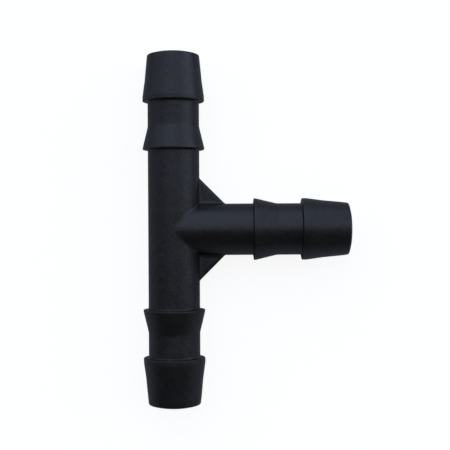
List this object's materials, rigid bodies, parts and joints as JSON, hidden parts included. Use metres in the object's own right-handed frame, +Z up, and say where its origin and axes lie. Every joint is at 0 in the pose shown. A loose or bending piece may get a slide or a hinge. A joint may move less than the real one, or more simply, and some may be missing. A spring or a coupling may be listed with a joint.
{
  "type": "barbed tee connector",
  "caption": "Moulded plastic T-shaped hose connector with barbed tails and thin corner webs, for splitting or joining soft irrigation hose.",
  "frame": {"origin": "where the axes of the run and the branch cross, in the middle of the flow passage", "axes": "the run lies along Y, the branch points along +X, and +Z is up when the tee lies flat on its barbs"},
  "size_m": [0.0405, 0.069, 0.012],
  "materials": {
    "black_plastic": "matte"
  },
  "bodies": {
    "root": {"tee_body": "black_plastic"}
  },
  "joints": []
}
